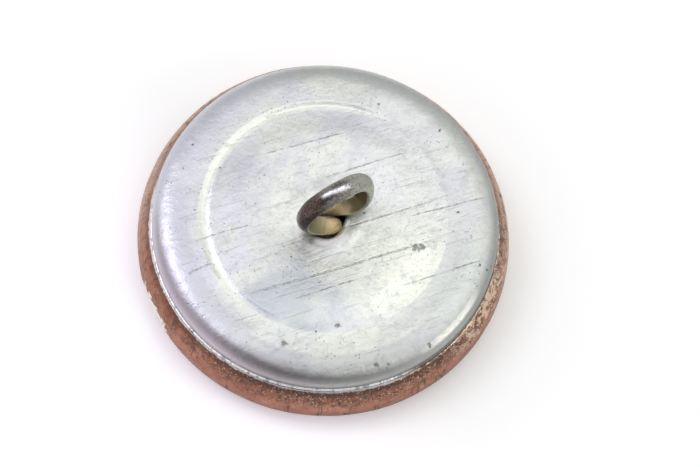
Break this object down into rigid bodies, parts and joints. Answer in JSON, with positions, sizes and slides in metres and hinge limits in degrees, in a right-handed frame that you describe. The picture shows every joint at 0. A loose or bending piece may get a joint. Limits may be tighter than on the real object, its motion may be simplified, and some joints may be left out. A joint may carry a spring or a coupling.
{
  "type": "shank button",
  "caption": "Round metal sew on button: a crimped copper shell over a tinned back plate with a pressed ring round its dished centre, and a bent wire eye for the thread.",
  "frame": {"origin": "centre of the front face, on the surface that the button lies face down on", "axes": "+Z out of the back, towards the wire eye; +X along the plane of the eye's ring, and +Y through the ring"},
  "size_m": [0.028, 0.028, 0.0114],
  "materials": {
    "copper_shell": "worn copper, brown and mottled, with traces of gilt and cream lacquer; bright along the crimped lip",
    "tinned_plate": "dull tin plate with fine scratches, dark specks and faint blue and green tints",
    "eye_wire": "brass wire, dark brown and pitted outside and worn to tan inside",
    "pasteboard": "raw grey brown pasteboard"
  },
  "bodies": {
    "root": {"front_shell": "copper_shell", "back_plate": "tinned_plate", "wire_eye": "eye_wire", "filler_disc_upper": "pasteboard", "filler_disc_lower": "pasteboard"}
  },
  "joints": []
}
